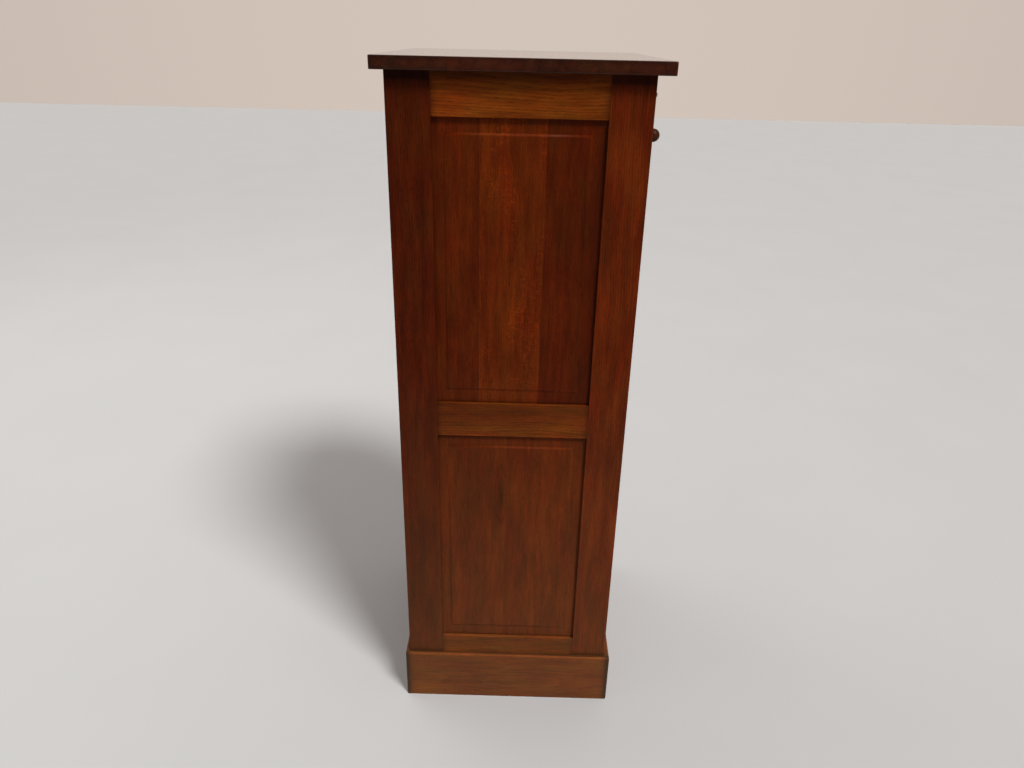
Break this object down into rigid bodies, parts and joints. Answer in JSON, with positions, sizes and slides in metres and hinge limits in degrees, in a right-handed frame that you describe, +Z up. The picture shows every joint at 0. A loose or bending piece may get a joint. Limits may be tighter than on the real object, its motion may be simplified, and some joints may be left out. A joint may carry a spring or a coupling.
{
  "type": "tambour filing cabinet",
  "caption": "Tall narrow oak filing cabinet with panelled sides, an overhanging top, a plinth and a slatted tambour front that runs down to show its shelves.",
  "frame": {"origin": "on the floor, under the centre of the whole cabinet's box, from the key's bow to the top board's rear edge", "axes": "+Z up, the tambour front faces -Y, +X to the right of somebody facing the front"},
  "size_m": [0.476, 0.445, 1.211],
  "materials": {
    "top_oak": "stained and varnished oak, glossy, darkest on its edges",
    "stile_oak": "red-brown stained oak, upright grain, satin varnish",
    "rail_oak": "orange-brown stained oak, level grain, satin varnish",
    "panel_oak": "quarter-sawn stained oak with ray fleck, satin varnish",
    "plinth_oak": "stained oak, level grain, rubbed light along its top edge",
    "slat_oak": "stained oak slats, satin varnish",
    "knob_oak": "turned and stained oak, dark",
    "inside_oak": "plain oak inside, thin finish",
    "canvas": "woven linen canvas, glued",
    "brass": "aged brass",
    "steel": "dull steel"
  },
  "bodies": {
    "carcass": {"top_board": "top_oak", "left_front_stile": "stile_oak", "right_front_stile": "stile_oak", "left_rear_stile": "stile_oak", "right_rear_stile": "stile_oak", "left_top_rail": "rail_oak", "right_top_rail": "rail_oak", "left_middle_rail": "rail_oak", "right_middle_rail": "rail_oak", "left_bottom_rail": "rail_oak", "right_bottom_rail": "rail_oak", "left_upper_panel": "panel_oak", "right_upper_panel": "panel_oak", "left_lower_panel": "panel_oak", "right_lower_panel": "panel_oak", "back_top_rail": "rail_oak", "back_middle_rail": "rail_oak", "back_bottom_rail": "rail_oak", "back_upper_panel": "panel_oak", "back_lower_panel": "panel_oak", "plinth_front": "plinth_oak", "plinth_right": "plinth_oak", "plinth_back": "plinth_oak", "plinth_left": "plinth_oak", "shelf_1": "inside_oak", "shelf_2": "inside_oak", "shelf_3": "inside_oak", "shelf_4": "inside_oak", "shelf_5": "inside_oak", "shelf_6": "inside_oak", "front_top_rail": "rail_oak", "front_sill": "rail_oak", "corner_blocks": "inside_oak", "top_glue_blocks": "inside_oak", "base_board": "inside_oak", "base_cleats": "inside_oak", "false_back": "inside_oak", "left_shelf_cleats": "inside_oak", "right_shelf_cleats": "inside_oak", "cleat_screws": "steel", "tambour_slats": "slat_oak", "tambour_canvas": "canvas", "lock_case": "steel", "lock_plate": "brass", "lock_screws": "steel", "hook_pivot_pin": "steel", "drill_pin": "steel", "escutcheon": "brass", "escutcheon_pins": "brass"},
    "tambour": {"lead_rail": "slat_oak", "left_knob": "knob_oak", "right_knob": "knob_oak", "knob_screws": "steel", "strike_plate": "brass", "strike_screws": "steel"},
    "key": {"key": "brass"},
    "hook": {"hook_bolt": "steel"}
  },
  "joints": [
    {"name": "tambour_slide", "type": "slide", "parent": "carcass", "child": "tambour", "axis": [0, 0, -1], "range_m": [0, 0.9245], "deforming": ["tambour_slats", "tambour_canvas"]},
    {"name": "key_turn", "type": "hinge", "parent": "carcass", "child": "key", "pos_m": [0, -0.1855, 1.152], "axis": [0, 1, 0], "range_deg": [0, 90]},
    {"name": "hook_swing", "type": "hinge", "parent": "carcass", "child": "hook", "pos_m": [-0.03, -0.1735, 1.1385], "axis": [0, 1, 0], "range_deg": [0, 80]}
  ],
  "couplings": [
    {"joint": "hook_swing", "follows": "key_turn", "ratio": 0.8888}
  ]
}
